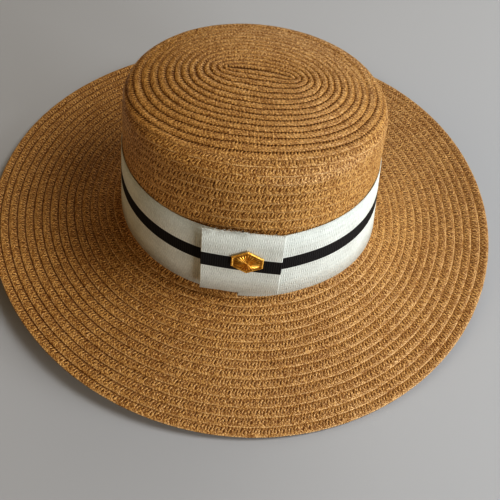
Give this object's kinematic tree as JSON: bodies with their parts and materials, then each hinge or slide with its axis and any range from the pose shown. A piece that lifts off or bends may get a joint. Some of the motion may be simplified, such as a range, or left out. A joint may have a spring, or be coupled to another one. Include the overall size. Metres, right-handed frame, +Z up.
{
  "type": "wide-brim straw boater hat",
  "caption": "Wide-brim boater hat of sewn straw braid with a striped ribbon band, a folded ribbon tab and a small six-sided metal ornament.",
  "frame": {"origin": "bottom centre of the hat's box, on the level surface that the brim rests on", "axes": "+Z up through the crown; -X towards the front of the head; -Y towards the wearer's left, the side with the ribbon tab and the ornament"},
  "size_m": [0.3904, 0.375, 0.1466],
  "materials": {
    "straw": "matt paper-straw braid, sewn in one spiral",
    "ribbon": "white ribbed ribbon with a woven black stripe",
    "ornament": "polished gold-coloured metal"
  },
  "bodies": {
    "root": {"straw_body": "straw", "ribbon_band": "ribbon", "ribbon_tab": "ribbon", "ornament": "ornament"}
  },
  "joints": []
}
